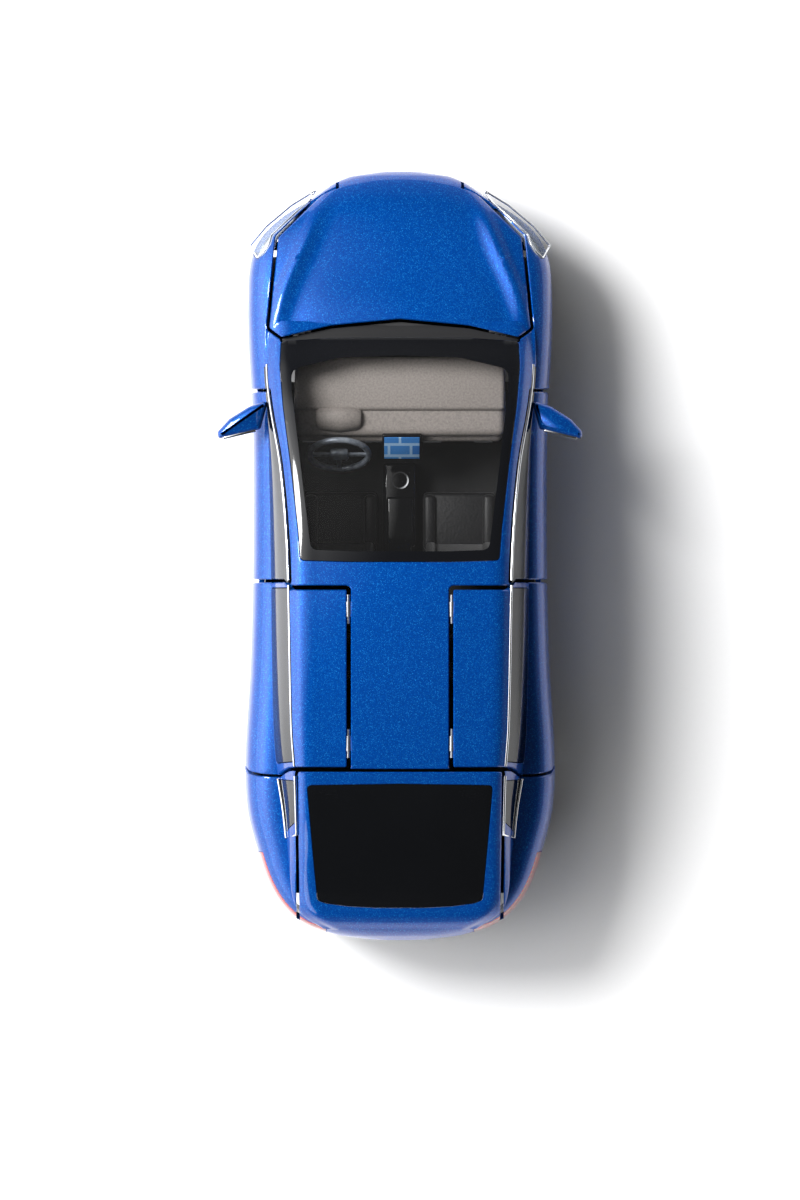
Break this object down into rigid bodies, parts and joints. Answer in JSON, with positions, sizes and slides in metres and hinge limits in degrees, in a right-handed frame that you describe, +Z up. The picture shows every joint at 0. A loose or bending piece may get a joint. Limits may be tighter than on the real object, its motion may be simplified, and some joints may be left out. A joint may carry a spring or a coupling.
{
  "type": "pull back car",
  "caption": "Die-cast toy crossover with pull-back drive, opening bonnet, front doors, roof-hinged rear wing doors and tailgate.",
  "frame": {"origin": "on the ground under the middle of the car", "axes": "+Z up, front of the car towards -Y, left side of the car towards +X"},
  "size_m": [0.0746, 0.157, 0.052],
  "materials": {
    "body_paint": "metallic blue paint under clear coat",
    "black_plastic": "moulded satin black",
    "clear_window": "clear polished plastic",
    "dark_window": "black polished plastic",
    "bright_trim": "bright plated plastic",
    "mirror_foil": "bright foil",
    "red_lamp": "red polished plastic",
    "cabin_plastic": "moulded warm grey",
    "screen_print": "printed blue screen",
    "steel": "drawn steel",
    "tyre": "moulded rubber",
    "gear_plastic": "natural nylon"
  },
  "bodies": {
    "root": {"body_shell": "body_paint", "front_grille": "black_plastic", "rear_diffuser": "black_plastic", "cowl_panel": "black_plastic", "windscreen": "clear_window", "quarter_windows": "dark_window", "window_trims": "bright_trim", "headlight_lenses": "clear_window", "headlight_reflectors": "bright_trim", "tail_lights": "red_lamp", "front_trunk_tub": "black_plastic", "cabin_tub": "black_plastic", "dashboard": "cabin_plastic", "steering_wheel": "cabin_plastic", "centre_screen": "screen_print", "centre_console": "black_plastic", "front_seats": "black_plastic", "middle_seats": "black_plastic", "rear_seats": "black_plastic", "chassis_plate": "black_plastic", "chassis_screws": "steel", "motor_case_left": "gear_plastic", "motor_case_right": "gear_plastic", "motor_screws": "steel", "mainspring": "steel", "lid_hinge_pins": "steel", "door_hinge_pins": "steel", "wing_hinge_pins": "steel"},
    "bonnet_lid": {"bonnet": "body_paint", "bonnet_hinge_arms": "steel"},
    "door_left": {"front_door_left": "body_paint", "front_door_card_left": "black_plastic", "front_door_glass_left": "dark_window", "mirror_left": "body_paint", "mirror_glass_left": "mirror_foil"},
    "door_right": {"front_door_right": "body_paint", "front_door_card_right": "black_plastic", "front_door_glass_right": "dark_window", "mirror_right": "body_paint", "mirror_glass_right": "mirror_foil"},
    "wing_left": {"wing_door_left": "body_paint", "wing_door_glass_left": "dark_window", "wing_hinge_left": "steel"},
    "wing_right": {"wing_door_right": "body_paint", "wing_door_glass_right": "dark_window", "wing_hinge_right": "steel"},
    "rear_lid": {"tailgate": "body_paint", "rear_glass": "dark_window", "tailgate_lights": "red_lamp", "tailgate_hinge_arms": "steel"},
    "front_wheels": {"front_axle": "steel", "front_rims": "bright_trim", "front_tyres": "tyre"},
    "rear_wheels": {"rear_axle": "steel", "axle_pinion": "gear_plastic", "rear_rims": "bright_trim", "rear_tyres": "tyre"},
    "middle_gear": {"intermediate_gear": "gear_plastic"},
    "barrel_gear": {"spring_gear": "gear_plastic"}
  },
  "joints": [
    {"name": "bonnet_hinge", "type": "hinge", "parent": "root", "child": "bonnet_lid", "pos_m": [0, -0.0455, 0.03302], "axis": [-1, 0, 0], "range_deg": [0, 50]},
    {"name": "door_left_hinge", "type": "hinge", "parent": "root", "child": "door_left", "pos_m": [0.0276, -0.0276, 0.022], "axis": [0, 0, -1], "range_deg": [0, 55]},
    {"name": "door_right_hinge", "type": "hinge", "parent": "root", "child": "door_right", "pos_m": [-0.0276, -0.0276, 0.022], "axis": [0, 0, 1], "range_deg": [0, 55]},
    {"name": "wing_left_hinge", "type": "hinge", "parent": "root", "child": "wing_left", "pos_m": [0.0104, 0.011, 0.05092], "axis": [0, -0.9984, 0.0565], "range_deg": [0, 65]},
    {"name": "wing_right_hinge", "type": "hinge", "parent": "root", "child": "wing_right", "pos_m": [-0.0104, 0.011, 0.05092], "axis": [0, 0.9984, -0.0565], "range_deg": [0, 65]},
    {"name": "tailgate_hinge", "type": "hinge", "parent": "root", "child": "rear_lid", "pos_m": [0, 0.04775, 0.04632], "axis": [1, 0, 0], "range_deg": [0, 65]},
    {"name": "front_axle_spin", "type": "hinge", "parent": "root", "child": "front_wheels", "pos_m": [0, -0.0495, 0.012], "axis": [1, 0, 0], "continuous": true},
    {"name": "rear_axle_spin", "type": "hinge", "parent": "root", "child": "rear_wheels", "pos_m": [0, 0.043, 0.012], "axis": [1, 0, 0], "continuous": true},
    {"name": "intermediate_spin", "type": "hinge", "parent": "root", "child": "middle_gear", "pos_m": [0, 0.03449, 0.015], "axis": [1, 0, 0], "continuous": true},
    {"name": "spring_gear_spin", "type": "hinge", "parent": "root", "child": "barrel_gear", "pos_m": [0, 0.02486, 0.01776], "axis": [1, 0, 0], "continuous": true}
  ],
  "couplings": [
    {"joint": "intermediate_spin", "follows": "rear_axle_spin", "ratio": -0.5},
    {"joint": "spring_gear_spin", "follows": "rear_axle_spin", "ratio": 0.16667}
  ]
}
